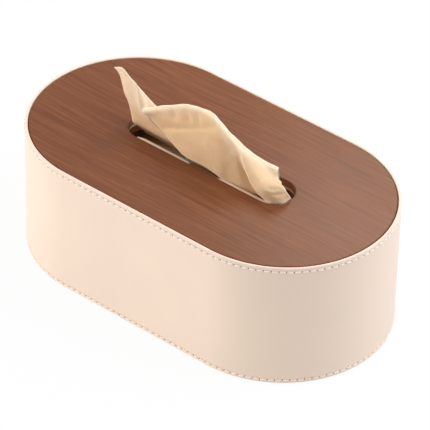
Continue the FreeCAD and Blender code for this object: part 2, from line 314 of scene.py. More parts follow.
# Leather sleeve. One strip of cream leather glued round the boards. Its top and bottom edges are turned in
# and sewn through as hems, and its ends meet in an upright seam at the middle of the back.
def cream_leather(name, body, warm, shade_holes=False):
    """Smooth coated leather with a fine grain; the last argument paints shade into the needle holes that the
    mesh marks.
    """
    finish = Finish(name, specular=0.45)
    pebbles = finish.cells(finish.stretch(1500, 1500, 1500))
    creases = finish.cloud(finish.stretch(700, 700, 700), detail=6.0, roughness=0.65, distortion=0.6)
    tone = finish.cloud(finish.stretch(14, 14, 14), detail=2.0)
    colour = finish.blend(finish.spread(tone, 0.0, 1.0, 0.35, 0.65), body, warm)
    worn = finish.spread(creases, 0.0, 0.07, 0.35, 0.7)
    colour = finish.blend(worn, colour, shade(228, 204, 184), "MULTIPLY")
    if shade_holes:
        hole = finish.add("ShaderNodeAttribute", attribute_name="needle_hole").outputs["Fac"]
        colour = finish.blend(hole, colour, shade(170, 124, 102))
    grain = finish.raise_by(pebbles, 0.00002, finish.raise_by(creases, 0.00003))
    return finish.set(base_color=colour, roughness=finish.spread(creases, 0.42, 0.54, 0.3, 0.7), normal=grain)


LEATHER = 0.9 * MM
HEM = 2 * LEATHER
CUT_BACK, CUT_UP = 0.1 * MM, 0.15 * MM
FOLD_STEPS = 8
RIM_HEIGHT = 88.3 * MM
FOOT_HEIGHT = 1.0 * MM
CORE_BOTTOM, CORE_TOP = 6.0 * MM, 81.8 * MM
TOP_ROW, BOTTOM_ROW = 85.4 * MM, 3.4 * MM
NEEDLE_HOLE, NEEDLE_DEPTH = 0.42 * MM, 0.7 * MM
# Depth and width of what the sewing does to the leather: the groove under a hem row, the swelling beside it,
# flatter at the holes, the groove under a seam row and the dip where the strip's ends meet.
ROW_SINK, ROW_WIDE = 0.22 * MM, 0.5 * MM
SWELL, SWELL_OFF, SWELL_WIDE = 0.10 * MM, 1.0 * MM, 0.45 * MM
HOLE_FLAT, HOLE_WIDE = 0.6, 0.9 * MM
SEAM_GAP = 0.3 * MM
SEAM_ROW = 2.6 * MM
SEAM_LOW, SEAM_HIGH = 10.5 * MM, 77.3 * MM
SEAM_SINK, SEAM_WIDE = 0.30 * MM, 0.45 * MM
JOIN_SINK, JOIN_WIDE = 0.45 * MM, 0.3 * MM


def bell(distance, width):
    return math.exp(-(distance / width) ** 2)


def leather_section():
    """Insets and heights round the leather strip's section, from the foot of its inner face."""
    section = [(LEATHER, CORE_BOTTOM), (LEATHER, 30 * MM), (LEATHER, 57 * MM), (LEATHER, CORE_TOP)]
    section += [(HEM - CUT_BACK, CORE_TOP), (HEM, CORE_TOP + CUT_UP), (HEM, 84.5 * MM)]
    fold = RIM_HEIGHT - LEATHER
    for step in range(FOLD_STEPS + 1):
        turn = math.pi * step / FOLD_STEPS
        section.append((LEATHER * (1 + math.cos(turn)), fold + LEATHER * math.sin(turn)))
    beside = [1.5, 1.15, 0.9, 0.68, 0.46, 0.25, 0.0, -0.25, -0.46, -0.68, -0.9, -1.15]
    section += [(0, TOP_ROW + offset * MM) for offset in beside + [-1.7]]
    section += [(0, height * MM) for height in (82, 76, 66, 55, 44, 33, 22, 12, 6.8)]
    section += [(0, BOTTOM_ROW + offset * MM) for offset in [1.7] + beside[1:-1]]
    fold = FOOT_HEIGHT + LEATHER
    for step in range(FOLD_STEPS + 1):
        turn = math.pi * step / FOLD_STEPS
        section.append((LEATHER * (1 - math.cos(turn)), fold - LEATHER * math.sin(turn)))
    return section + [(HEM, CORE_BOTTOM - CUT_UP), (HEM - CUT_BACK, CORE_BOTTOM)]


def in_needle_hole(count, height):
    """1 in the middle of a hem row's needle hole, falling to 0 outside it."""
    along = abs((count % 1) - 0.5) * STITCH
    return max(bell(math.hypot(along, height - row), NEEDLE_HOLE) for row in (TOP_ROW, BOTTOM_ROW))


def pulled_in(count, height):
    """How far the thread draws the leather's outer face in at a place."""
    along = abs((count % 1) - 0.5) * STITCH
    depth = NEEDLE_DEPTH * in_needle_hole(count, height)
    for row in (TOP_ROW, BOTTOM_ROW):
        across = abs(height - row)
        depth += ROW_SINK * bell(across, ROW_WIDE)
        depth -= SWELL * bell(across - SWELL_OFF, SWELL_WIDE) * (1 - HOLE_FLAT * bell(along, HOLE_WIDE))
    seam = min(count, ROW_STITCHES - count) * STITCH
    if SEAM_LOW < height < SEAM_HIGH:
        depth += SEAM_SINK * bell(seam - SEAM_ROW, SEAM_WIDE)
    return depth + JOIN_SINK * bell(seam - SEAM_GAP / 2, JOIN_WIDE)


def close_ends():
    """Fills the open ends of the active piece's tube and turns its faces outwards."""
    bpy.ops.object.mode_set(mode="EDIT")
    pick(lambda edge: edge.is_boundary, "edges")
    bpy.ops.mesh.edge_face_add()
    bpy.ops.mesh.select_all(action="SELECT")
    bpy.ops.mesh.normals_make_consistent(inside=False)
    bpy.ops.object.mode_set(mode="OBJECT")


seam_edge = SEAM_GAP / 2 / STITCH
places = {seam_edge, seam_edge + 0.02, seam_edge + 0.05}
places |= {0.12, 0.2, 0.3, 0.38, 0.44, 0.5, 0.56, 0.62, 0.7, 0.8}
places |= {ROW_STITCHES - place for place in places}
for stitch in range(ROW_STITCHES):
    for part in (0.0, 0.06, 0.12, 0.2, 0.34, 0.5, 0.66, 0.8, 0.88, 0.94):
        place = (stitch + 0.5 + part) % ROW_STITCHES
        if 1 < place < ROW_STITCHES - 1:
            places.add(place)
# How strongly shade is painted into the needle holes, over the pits that the mesh sinks there.
HOLE_SHADE = 1.25
leather_columns, hole_shade_marks = [], []
for count in sorted(places):
    column = []
    for inset, height in leather_section():
        outside = inset < LEATHER / 2
        if outside:
            inset += pulled_in(count, height)
        hole_shade_marks.append(min(HOLE_SHADE * in_needle_hole(count, height), 1.0) if outside else 0.0)
        column.append(wall_point(count, inset, height))
    leather_columns.append(column)
leather_wrap = sewn_grid("leather_wrap", leather_columns, ring=True)
marks = leather_wrap.data.attributes.new("needle_hole", "FLOAT", "POINT")
marks.data.foreach_set("value", hole_shade_marks)
close_ends()
smooth(leather_wrap, 60)
coat(leather_wrap, cream_leather("cream_leather", shade(238, 216, 196), shade(242, 219, 198), shade_holes=True))
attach(leather_wrap, "box")
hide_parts("leather_sleeve")


# Stitching. Twisted pale thread, one row along each hem all round and one beside each edge of the back seam.
# Each stitch comes up through one needle hole, lies a little aslant over the leather and goes down the next.
def twisted_thread():
    finish = Finish("twisted_thread", specular=0.3)
    around = finish.add("ShaderNodeTexCoord").outputs["UV"]
    twist = finish.add("ShaderNodeTexWave", {"Vector": around, "Scale": 1.0, "Distortion": 0.4},
                       wave_type="BANDS", bands_direction="DIAGONAL").outputs["Fac"]
    colour = finish.ramp(twist, [(0.0, shade(245, 224, 204)), (0.5, shade(255, 238, 221))])
    return finish.set(base_color=colour, roughness=0.6, normal=finish.raise_by(twist, 0.00002))


THREAD_WIDE, THREAD_THICK = 0.58 * MM, 0.40 * MM
THREAD_SIDES = 6
TWISTS = 4
STITCH_RINGS = ((0.06, 0.85), (0.1, 0.4), (0.17, 0.05), (0.32, -0.16), (0.5, -0.22),
                (0.68, -0.16), (0.83, 0.05), (0.9, 0.4), (0.94, 0.85))


def one_stitch(name):
    """A stitch lying along X, one unit long, bowed out along Y; its depth and girth are in metres."""
    columns = []
    for place, depth in STITCH_RINGS:
        ring = []
        for side in range(THREAD_SIDES):
            turn = 2 * math.pi * side / THREAD_SIDES
            out = -depth * MM + THREAD_THICK * math.cos(turn)
            ring.append(Vector((place, out, THREAD_WIDE * math.sin(turn))))
        columns.append(ring)
    piece = sewn_grid(name, columns, ring=True)
    layer = piece.data.uv_layers.new(name="UVMap")
    for loop in piece.data.loops:
        ring, side = divmod(loop.vertex_index, THREAD_SIDES)
        layer.data[loop.index].uv = (STITCH_RINGS[ring][0] * TWISTS, side / THREAD_SIDES)
    close_ends()
    bpy.ops.object.shade_smooth()
    return piece


def moved_copy(pattern, move):
    """A copy of a piece with a mesh of its own, moved to its place."""
    copy = pattern.copy()
    copy.data = pattern.data.copy()
    copy.data.transform(move)
    bpy.context.collection.objects.link(copy)
    return copy


def joined(copies, name):
    """Joins copies of one shape into one named piece."""
    only(copies[0])
    for copy in copies:
        copy.select_set(True)
    bpy.ops.object.join()
    piece = bpy.context.object
    piece.name = piece.data.name = name
    return piece


thread_finish = twisted_thread()
SLANT = 0.45 * MM


def sewn_row(name, holes, node):
    """Copies of one stitch from each hole to the next, from (start, end, way out) places."""
    pattern = one_stitch(name)
    copies = []
    for start, end, out in holes:
        across = (end - start).cross(out).normalized()
        start, end = start + across * SLANT / 2, end - across * SLANT / 2
        along = end - start
        axes = Matrix((along, out, along.cross(out).normalized())).transposed().to_4x4()
        copies.append(moved_copy(pattern, Matrix.Translation(start) @ axes))
    bpy.data.objects.remove(pattern)
    row = joined(copies, name)
    coat(row, thread_finish)
    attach(row, "box")
    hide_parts(node)


def hem_holes(height):
    holes = []
    for stitch in range(ROW_STITCHES):
        start, end = stitch + 0.5, (stitch + 1.5) % ROW_STITCHES
        out = wall_station((stitch + 1) % ROW_STITCHES)[1]
        holes.append((wall_point(start, 0, height), wall_point(end, 0, height), out))
    return holes


SEAM_STITCHES = 15


def seam_holes():
    holes = []
    rise = (SEAM_HIGH - SEAM_LOW) / SEAM_STITCHES
    for way in (-1, 1):
        for stitch in range(SEAM_STITCHES):
            low = Vector((way * SEAM_ROW, END_RADIUS, SEAM_LOW + rise * stitch))
            holes.append((low, low + Vector((0, 0, rise)), Vector((0, 1, 0))))
    return holes


sewn_row("top_hem_thread", hem_holes(TOP_ROW), "top_stitching")
sewn_row("bottom_hem_thread", hem_holes(BOTTOM_ROW), "bottom_stitching")
sewn_row("back_seam_thread", seam_holes(), "seam_stitching")


# Base cover. An oval of dark brushed suede cloth glued under the base board, inside the bottom hem. It hides
# the board and the glued edge of the leather.
def brushed_suede():
    finish = Finish("brushed_suede", specular=0.15)
    nap = finish.cloud(finish.stretch(1800, 700, 1800), detail=4.0, roughness=0.7)
    sweep = finish.cloud(finish.stretch(30, 12, 30), detail=2.0, distortion=0.8)
    colour = finish.ramp(nap, [(0.3, shade(70, 52, 40)), (0.7, shade(100, 78, 62))])
    colour = finish.blend(finish.spread(sweep, 0.0, 0.5, 0.4, 0.65), colour, shade(112, 90, 72))
    return finish.set(base_color=colour, roughness=0.92, sheen_weight=0.4,
                      normal=finish.raise_by(nap, 0.00015))


SUEDE_BOTTOM, SUEDE_TOP = 1.2 * MM, 2.0 * MM
SUEDE_GAP, SUEDE_EDGE = 0.1 * MM, 0.2 * MM
base_suede = oval_sheet("base_suede", HEM + SUEDE_GAP, SUEDE_BOTTOM, SUEDE_TOP, SUEDE_EDGE)
coat(base_suede, brushed_suede())
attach(base_suede, "box")
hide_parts("base_cover")


# Rubber feet. Four moulded black pads with a softened edge and a shallow dish, stuck to the suede where the
# straight sides end. The box stands on them.
def moulded_rubber():
    finish = Finish("moulded_rubber", specular=0.3)
    speck = finish.cloud(finish.stretch(3000, 3000, 3000), detail=2.0)
    colour = finish.ramp(speck, [(0.35, shade(34, 32, 30)), (0.7, shade(52, 49, 46))])
    return finish.set(base_color=colour, roughness=finish.spread(speck, 0.6, 0.8),
                      normal=finish.raise_by(speck, 0.00005))


FOOT = 6.0 * MM
FOOT_TALL = 1.2 * MM
FOOT_REACH = 52.5 * MM
FOOT_SOFT = 0.4 * MM
DISH_MARGIN, DISH_SLOPE, DISH_DEPTH = 1.2 * MM, 0.5 * MM, 0.15 * MM
LARGE_FACE = 0.00003
bpy.ops.object.select_all(action="DESELECT")
bpy.ops.mesh.primitive_cylinder_add(vertices=40, radius=FOOT, depth=FOOT_TALL, location=(0, 0, FOOT_TALL / 2))
bpy.ops.object.transform_apply(location=True)
bpy.ops.object.mode_set(mode="EDIT")
pick(lambda edge: all(vertex.co.z < FOOT_TALL / 2 for vertex in edge.verts), "edges")
bpy.ops.mesh.bevel(offset=FOOT_SOFT, segments=4, affect="EDGES")
pick(lambda face: face.normal.z < -0.9 and face.calc_area() > LARGE_FACE, "faces")
bpy.ops.mesh.inset(thickness=DISH_MARGIN)
bpy.ops.mesh.inset(thickness=DISH_SLOPE, depth=-DISH_DEPTH)
bpy.ops.object.mode_set(mode="OBJECT")
first_foot = bpy.context.object
feet = []
for x in (-STRAIGHT, STRAIGHT):
    for y in (-FOOT_REACH, FOOT_REACH):
        feet.append(moved_copy(first_foot, Matrix.Translation((x, y, 0))))
bpy.data.objects.remove(first_foot)
rubber_pads = joined(feet, "rubber_pads")
smooth(rubber_pads)
coat(rubber_pads, moulded_rubber())
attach(rubber_pads, "box")
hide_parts("rubber_feet")


# Napkin stack. Soft unbleached napkins folded into each other, so that the stack is one long zigzag of panels
# with its folds at the front and back. It lies on the floor felt and crowns a little along the middle.
def tissue(name, light, deep, glow):
    """Soft paper; glow is the share of light that goes on through it."""
    finish = Finish(name, specular=0.1)
    fibre = finish.cloud(finish.stretch(2200, 2200, 2200), detail=5.0, roughness=0.7)
    pulp = finish.cloud(finish.stretch(260, 260, 260), detail=3.0)
    quilt = finish.cells(finish.stretch(900, 900, 900))
    colour = finish.ramp(fibre, [(0.25, deep), (0.65, light)])
    colour = finish.blend(finish.spread(pulp, 0.0, 0.5, 0.42, 0.7), colour, deep)
    # Painted light: the pale colour goes where the mesh marks a highlight on edges and folds or a glow of
    # light through the paper.
    painted_light_mask = finish.add("ShaderNodeAttribute", attribute_name="painted_light_share").outputs["Fac"]
    colour = finish.blend(painted_light_mask, colour, shade(255, 236, 210))
    bumps = finish.raise_by(quilt, 0.00009, finish.raise_by(fibre, 0.00014))
    return finish.set(base_color=colour, roughness=0.95, normal=bumps, subsurface_weight=glow,
                      subsurface_radius=(1.0, 0.6, 0.35), subsurface_scale=0.0003, sheen_weight=0.12,
                      sheen_tint=shade(255, 214, 168))


tissue_finish = tissue("unbleached_tissue", shade(240, 208, 172), shade(228, 194, 156), glow=0.0)
PANELS = 40
PANEL_HALF_LENGTH, PANEL_HALF_WIDTH = 89.6 * MM, 49.4 * MM
STACK_BOTTOM, STACK_TOP, STACK_CROWN = 6.6 * MM, 64.2 * MM, 2.0 * MM
LEAF = 0.95 * MM
PANEL_STEPS, FOLD_TURNS, STACK_STATIONS = 12, 5, 24
STACK_WAVE = 0.35 * MM
draw = random.Random(7)
panel_pitch = (STACK_TOP - STACK_BOTTOM) / PANELS
edge_shift = [draw.uniform(-0.6, 0.3) * MM for _ in range(PANELS + 1)]
end_shift = [draw.uniform(-0.9, 0.3) * MM for _ in range(PANELS + 1)]
stack_path = []
for panel in range(PANELS):
    way = 1 if panel % 2 == 0 else -1
    reach = PANEL_HALF_WIDTH - panel_pitch / 2
    for step in range(PANEL_STEPS + 1):
        stack_path.append((panel, way * reach * (2 * step / PANEL_STEPS - 1), panel + 0.5))
    if panel + 1 < PANELS:
        for step in range(1, FOLD_TURNS):
            turn = math.pi * step / FOLD_TURNS
            bulge = reach + panel_pitch / 2 * math.sin(turn)
            stack_path.append((panel, way * bulge, panel + 1 - math.cos(turn) / 2))
stack_columns = []
for station in range(STACK_STATIONS + 1):
    share = 2 * station / STACK_STATIONS - 1
    column = []
    for panel, y, level in stack_path:
        rest = min(level - panel, 1)
        length = PANEL_HALF_LENGTH + end_shift[panel] * (1 - rest) + end_shift[panel + 1] * rest
        x = share * length
        lift = level / PANELS
        crown = STACK_CROWN * lift * (y / PANEL_HALF_WIDTH) ** 2
        wave = STACK_WAVE * lift * noise.noise(Vector((x * 30, y * 40, panel * 0.35)))
        y += edge_shift[panel] * (y / PANEL_HALF_WIDTH)
        column.append(Vector((x, y, STACK_BOTTOM + level * panel_pitch - crown + wave)))
    stack_columns.append(column)
napkin_stack = sewn_grid("napkin_stack", stack_columns)
apply_modifier(napkin_stack, "SOLIDIFY", thickness=LEAF, offset=0.0)
smooth(napkin_stack, 60)
coat(napkin_stack, tissue_finish)
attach(napkin_stack, "box")
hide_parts("napkin_pack")


# Lid face. A sheet of straight-grained walnut veneer over the whole lid, grain lengthwise, with the arrises
# of its rim and slot broken and a satin lacquer over it.
def walnut(name, along, low, high, specular=0.18):
    """Straight-grained walnut; along gives the pattern cells to the metre with and across the grain."""
    finish = Finish(name, specular)
    with_grain, across = along
    drift = finish.cloud(finish.stretch(9, 22, 22), detail=1.0)
    push = finish.add("ShaderNodeCombineXYZ", {"Y": finish.spread(drift, -0.003, 0.003)}).outputs["Vector"]
    bent = finish.add("ShaderNodeVectorMath", {0: finish.place, 1: push}, operation="ADD").outputs["Vector"]
    bands = finish.cloud(finish.stretch(0.5 * with_grain, 0.2 * across, 0.2 * across, bent), detail=2.0)
    streaks = finish.cloud(finish.stretch(with_grain, across, across, bent), detail=3.0, roughness=0.6)
    narrow = finish.stretch(2 * with_grain, 2.6 * across, 2.6 * across, bent)
    lines = finish.cloud(narrow, detail=3.0, roughness=0.7)
    pores = finish.cloud(finish.stretch(12 * with_grain, 7 * across, 7 * across, bent), detail=1.0)
    mixed = finish.blend(0.15, finish.blend(0.5, streaks, lines), bands)
    middle = tuple((a + b) / 2 for a, b in zip(low, high))
    colour = finish.ramp(mixed, [(0.39, low), (0.5, middle), (0.61, high)])
    pit = finish.spread(pores, 0.0, 0.4, 0.60, 0.74)
    colour = finish.blend(pit, colour, tuple(0.6 * value for value in low[:3]) + (1.0,))
    bumps = finish.raise_by(pores, -0.00003, finish.raise_by(lines, 0.00002))
    return finish.set(base_color=colour, roughness=finish.spread(streaks, 0.28, 0.36, 0.3, 0.7), normal=bumps)


LID_TOP = 88.0 * MM
VENEER = 0.6 * MM
LID_INSET = 2.3 * MM
SLOT_STRAIGHT = 49.0 * MM
SLOT_RADIUS = 13.0 * MM
ARRIS = 0.3 * MM
FLAT_MARGIN = 1.0 * MM
rim_line = oval_line(END_RADIUS - LID_INSET, STRAIGHT, LID_TOP)
oval_line(SLOT_RADIUS, SLOT_STRAIGHT, LID_TOP)
rim_line.select_set(True)
bpy.ops.object.join()
bpy.ops.object.mode_set(mode="EDIT")
bpy.ops.mesh.select_all(action="SELECT")
bpy.ops.mesh.bridge_edge_loops()
bpy.ops.mesh.select_all(action="SELECT")
# Edge loops close to the rim and the slot keep the broken arrises from shading the flat face.
bpy.ops.mesh.inset(thickness=FLAT_MARGIN)
bpy.ops.mesh.select_all(action="SELECT")
bpy.ops.mesh.extrude_region_move(TRANSFORM_OT_translate={"value": (0, 0, -VENEER)})
bpy.ops.mesh.select_all(action="SELECT")
bpy.ops.mesh.normals_make_consistent(inside=False)
pick(lambda edge: all(vertex.co.z > LID_TOP - VENEER / 2 for vertex in edge.verts)
     and any(abs(face.normal.z) < 0.5 for face in edge.link_faces), "edges")
bpy.ops.mesh.bevel(offset=ARRIS, segments=3, affect="EDGES")
bpy.ops.object.mode_set(mode="OBJECT")
lid_face = bpy.context.object
lid_face.name = lid_face.data.name = "lid_face"
smooth(lid_face, 50)
LID_GRAIN = (18.0, 740.0)
coat(lid_face, walnut("satin_walnut", LID_GRAIN, shade(102, 56, 32), shade(133, 80, 50)))
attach(lid_face, "lid")
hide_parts("lid_face_veneer")


# Lid edge bands. Narrow walnut veneer glued round the lid board's rim and round its slot, grain running with
# the edge, so its streaks lie level all the way round.
def banded_walnut():
    finish = Finish("edge_band_walnut", specular=0.3)
    streaks = finish.cloud(finish.stretch(30, 30, 900), detail=3.0, roughness=0.6)
    colour = finish.ramp(streaks, [(0.35, shade(140, 88, 58)), (0.65, shade(170, 116, 84))])
    return finish.set(base_color=colour, roughness=finish.spread(streaks, 0.45, 0.6),
                      normal=finish.raise_by(streaks, 0.00004))


band_finish = banded_walnut()
coat(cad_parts["lid_edge_band"], band_finish)
coat(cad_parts["slot_edge_band"], band_finish)

# Lid board, backing and plug. The fibreboard inside the lid, a thin pale leather sheet under it that the wall
# carries, and the stained board below that drops inside the wall.
coat(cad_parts["lid_core"], board_finish)
backing_finish = cream_leather("pale_backing", shade(226, 198, 174), shade(220, 188, 164))
coat(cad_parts["lid_backing"], backing_finish)
plug_finish = walnut("stained_plug", LID_GRAIN, shade(104, 58, 34), shade(134, 82, 52), specular=0.2)
coat(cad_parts["lid_plug"], plug_finish)

# Slot strips. Soft pale strips glued along the slot's sides, their upper edges rounded, which keep the napkin
# from tearing on the wood. The front one goes on a little way round the right end.
# The front strip's brown stretch is painted shade where the napkin's hem hangs over it; the pale rest is the
# strip's own colour.
SHADE_MIDDLE, SHADE_HALF, SHADE_SOFT = 4.5 * MM, 13.0 * MM, 2.5 * MM


def strip_leather_with_painted_shade():
    """The backing's leather with painted shade: brown along the stretch under the napkin's hanging hem, where
    its shadow falls.
    """
    finish = Finish("backing_with_painted_shade", specular=0.1)
    creases = finish.cloud(finish.stretch(700, 700, 700), detail=6.0, roughness=0.65, distortion=0.6)
    along = finish.add("ShaderNodeSeparateXYZ", {"Vector": finish.place}).outputs["X"]
    off = finish.add("ShaderNodeMath", {0: along, 1: SHADE_MIDDLE}, operation="SUBTRACT").outputs["Value"]
    reach = finish.add("ShaderNodeMath", {0: off}, operation="ABSOLUTE").outputs["Value"]
    under_hem_shade = finish.spread(reach, 1.0, 0.0, SHADE_HALF - SHADE_SOFT, SHADE_HALF)
    pale = finish.ramp(creases, [(0.35, shade(226, 198, 174)), (0.7, shade(220, 188, 164))])
    shaded_brown = finish.ramp(creases, [(0.35, shade(146, 90, 56)), (0.7, shade(130, 78, 48))])
    colour = finish.blend(under_hem_shade, pale, shaded_brown)
    return finish.set(base_color=colour, roughness=finish.spread(creases, 0.5, 0.62),
                      normal=finish.raise_by(creases, 0.00003))


STRIP = 2.6 * MM
STRIP_TOP = 87.7 * MM
STRIP_TAPER, STRIP_END = 6.0 * MM, 0.4
STRIP_SAG, SAG_ABOVE = 0.08 * MM, -2
# The strip's section: shares of its width out from the slot's side, and millimetres below its top.
STRIP_SECTION = ((0.01, -10.9), (0.01, -4.0), (0.01, -0.35), (0.06, -0.1), (0.25, 0.0), (0.5, 0.04),
                 (0.75, 0.0), (0.9, -0.12), (0.98, -0.45), (1.0, -1.0), (1.0, -4.0), (1.0, -10.9))
for name, way, left, right, node, finish in (
        ("front_slot_strip", -1, -48, 58, "slot_strip_front", strip_leather_with_painted_shade()),
        ("back_slot_strip", 1, -40, 40, "slot_strip_back", backing_finish)):
    strip_columns = []
    for x in range(left, right + 1):
        beyond = max(x * MM - SLOT_STRAIGHT, 0.0)
        wall = math.sqrt(SLOT_RADIUS ** 2 - beyond ** 2)
        from_end = min(x - left, right - x) * MM
        full = math.sin(math.pi / 2 * min(from_end / STRIP_TAPER, 1.0))
        width = STRIP * (STRIP_END + (1 - STRIP_END) * full)
        sag = STRIP_SAG * noise.noise(Vector((x * 0.09, way, 0)))
        column = []
        for share, drop in STRIP_SECTION:
            height = STRIP_TOP + drop * MM + (sag if drop > SAG_ABOVE else 0.0)
            column.append(Vector((x * MM, way * (wall - share * width), height)))
        strip_columns.append(column)
    strip = sewn_grid(name, strip_columns, ring=True)
    close_ends()
    smooth(strip, 50)
    coat(strip, finish)
    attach(strip, "lid")
    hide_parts(node)


# Drawn napkin. One two-ply napkin pulled up through the slot. The rear ply stands up to a tall corner at the
# left. The front ply comes up before it, folds over at the crest and hangs down over the slot's near side.
def curve_through(points, steps):
    """A smooth curve through the given points, with so many steps between each two."""
    gaps = [(end - start).length + 1e-9 for start, end in zip(points, points[1:])]
    ways = [(end - start) / gap for start, end, gap in zip(points, points[1:], gaps)]
    bends = [ways[0]]
    for before, after, gap_before, gap_after in zip(ways, ways[1:], gaps, gaps[1:]):
        bends.append((before * gap_after + after * gap_before) / (gap_before + gap_after))
    bends.append(ways[-1])
    line = []
    for start, end, leave, reach, gap in zip(points, points[1:], bends, bends[1:], gaps):
        for step in range(steps):
            t = step / steps
            place = start * (1 + 2 * t) * (1 - t) ** 2 + end * (3 - 2 * t) * t ** 2
            line.append(place + gap * t * (1 - t) * (leave * (1 - t) - reach * t))
    return line + [points[-1]]


FINE_STEPS = 12


def even_points(points, count):
    """So many points at even distances along the smooth curve through places over the lid, in millimetres."""
    places = [Vector((x * MM, y * MM, LID_TOP + height * MM)) for x, y, height in points]
    fine = curve_through(places, FINE_STEPS)
    reach = [0.0]
    for first, second in zip(fine, fine[1:]):
        reach.append(reach[-1] + (second - first).length)
    even, index = [], 0
    for step in range(count):
        goal = reach[-1] * step / (count - 1)
        while index < len(fine) - 2 and reach[index + 1] < goal:
            index += 1
        share = (goal - reach[index]) / max(reach[index + 1] - reach[index], 1e-9)
        even.append(fine[index].lerp(fine[index + 1], share))
    return even


def spread_ribs(ribs, between):
    """Fills in columns between ribs of equal length on smooth curves across them."""
    across = [curve_through(list(points), between) for points in zip(*ribs)]
    return [list(column) for column in zip(*across)]


# Rear ply, rib by rib from its left edge: from the slot up to the free edge, in millimetres along, across and
# above the lid. At the slot it bends back, and from the middle on it goes on down into the box.
REAR_RIBS = (
    ((-59.5, -3, 0), (-60.5, -3, 3.5), (-63, -3, 12.5), (-67, -3, 20), (-69, -3, 27),
     (-71.5, -3, 32), (-75, -3, 34)),
    ((-54, -3, 0), (-58.5, -3.5, 12), (-63.5, -3.7, 22), (-67, -3.5, 31), (-69, -3, 36.5)),
    ((-46, -3.2, 0), (-51, -3.9, 7), (-55.5, -4, 14.5), (-58.5, -4, 22), (-62, -3.5, 33)),
    ((-37, -3.4, 0), (-45, -4.3, 7), (-52, -4.6, 13.5), (-54.5, -4.8, 18), (-56, -4.6, 22.5),
     (-57.5, -4, 31.5)),
    ((-30, -3.4, 0), (-40, -4.6, 7.5), (-48, -5.2, 13), (-52, -5.4, 16.5), (-53.5, -5.3, 19.5),
     (-54, -5, 24), (-55.5, -4.2, 30.5)),
    ((-26, -3, 0), (-37.5, -3.8, 6.5), (-47, -3.2, 12.5), (-50, -4.4, 17), (-51, -4.8, 20),
     (-52.5, -4.2, 23.5), (-54.5, -2.6, 27.5)),
    ((-22, -2.6, 0), (-32, -2, 6.5), (-43, 1.5, 8), (-48, 2.8, 10), (-49, 1.6, 13), (-50, 1, 16),
     (-51, 1.1, 18.5), (-52, 1.2, 20.5)),
    ((-19, -2.2, 0), (-28, -1, 6.5), (-39, 4, 6), (-46, 7.5, 7.5), (-49, 7, 11.5)),
    ((-15, -1.8, 0), (-23, -1, 8), (-31, 2, 13), (-38, 4, 16)),
    ((-9, -1.4, 0), (-15, -0.6, 11), (-21, 1, 19), (-25, 1.6, 23)),
    ((-2, -0.6, 0), (-3.5, 0.2, 14), (-4.5, 1, 26), (-5, 1.2, 29)),
    ((14, 1.4, 0), (14.5, 2, 8), (15, 2.6, 15), (15, 2.6, 18)),
    ((32, 3, 0), (32.5, 4, 4), (33, 4.2, 7), (33, 4.2, 9)),
    ((44, 3.6, 0), (44.5, 4.4, 2), (44.5, 4.6, 4), (45, 4.6, 5)),
)
# Front ply, rib by rib from its slanting left edge: where its leg leaves the slot, then the fall from the
# crest at the leg's top down to the hem.
FRONT_RIBS = (
    ((-21, -2.4),
     ((-50, -5.5, 16), (-44.5, -5.2, 12), (-37.5, -5.6, 8.5), (-25, -8.4, 5.5), (-13.5, -10.8, 2.2))),
    ((-15, -2.3),
     ((-40.5, -3.2, 21), (-32.5, -5.6, 19), (-25, -7.2, 14.5), (-16.5, -9.4, 8.5), (-10.5, -11.2, 2.2))),
    ((-9, -2),
     ((-29.5, -2.6, 27), (-23.5, -5.6, 24), (-17, -7.6, 18.5), (-9.5, -10.2, 11), (-5, -11.6, 2.2))),
    ((-2, -1.6),
     ((-15.5, -2.4, 34), (-9.5, -6, 30), (-5.5, -8, 23.5), (-1, -10.4, 14), (2, -11.2, 2))),
    ((5, -1.4),
     ((-5, -2.4, 36), (0.5, -6, 33.5), (3.5, -8.4, 27.5), (8, -11, 16.5), (10.5, -11.4, 1.4))),
    ((11, -1),
     ((4, -2.2, 36), (9, -6.2, 33.5), (12.5, -8.6, 29.5), (15.5, -11, 18.5), (16.5, -11.8, 0.6))),
    ((15, -0.6),
     ((7.5, -1.4, 33), (13.5, -5.4, 31), (18, -8.4, 25), (20.5, -10.2, 15), (22.5, -9.8, -2.5))),
    ((19.5, -0.4),
     ((11.5, -0.6, 29.5), (18.5, -4.8, 27), (24, -7.8, 19.5), (27.5, -9, 10.5), (31.5, -9.2, -3))),
    ((23.5, 0.2),
     ((15, 0, 26), (21.5, -4.4, 24.5), (27.5, -7.2, 18), (32, -6.4, 10.5), (37.5, -6, 3.5),
      (43.5, -6, -3.5))),
    ((26.5, 0.8),
     ((18.5, 0.8, 23.5), (25, -4.6, 22), (31, -8, 16), (35.5, -9.4, 11), (40.5, -10.6, 6),
      (47, -11.8, 3), (55.5, -11.6, 0.6))),
    ((32.5, 1.4),
     ((23.5, 2, 19.5), (30, -3, 19), (37, -6.6, 16), (44.5, -10, 13), (53, -12.6, 10.5),
      (58.5, -9.7, 0.5))),
    ((42, 1.8),
     ((36, 3, 15.5), (40.5, -0.6, 14.5), (46.5, -4, 12.5), (55.5, -8.6, 11.5), (61.5, -7.2, 0.6))),
    ((51, 2),
     ((49.5, 3, 15.5), (51, 0.6, 12.5), (57.5, -2.6, 9.5), (61, -3, 7), (62.5, -0.2, 1))),
)
# Valleys pressed into the front ply: ends as (along, above the lid), depth, and reach above and below. Three
# hang from the crest, the fourth crosses the fall below them, and the last two lie low on the flap.
VALLEYS = (
    ((-29, 29), (-24.5, 22.5), 1.6, 2.2, 2.2),
    ((-17, 33), (-13.5, 26), 1.6, 2.2, 2.2),
    ((-8, 36), (-5.5, 29.5), 1.2, 2.2, 2.2),
    ((-30.5, 10.5), (8.5, 31), 1.2, 2.8, 1.0),
    ((50.5, 11.4), (57.5, 9.6), 0.6, 1.2, 0.8),
    ((54.5, 7.5), (60.5, 6), 0.5, 1.2, 0.8),
)


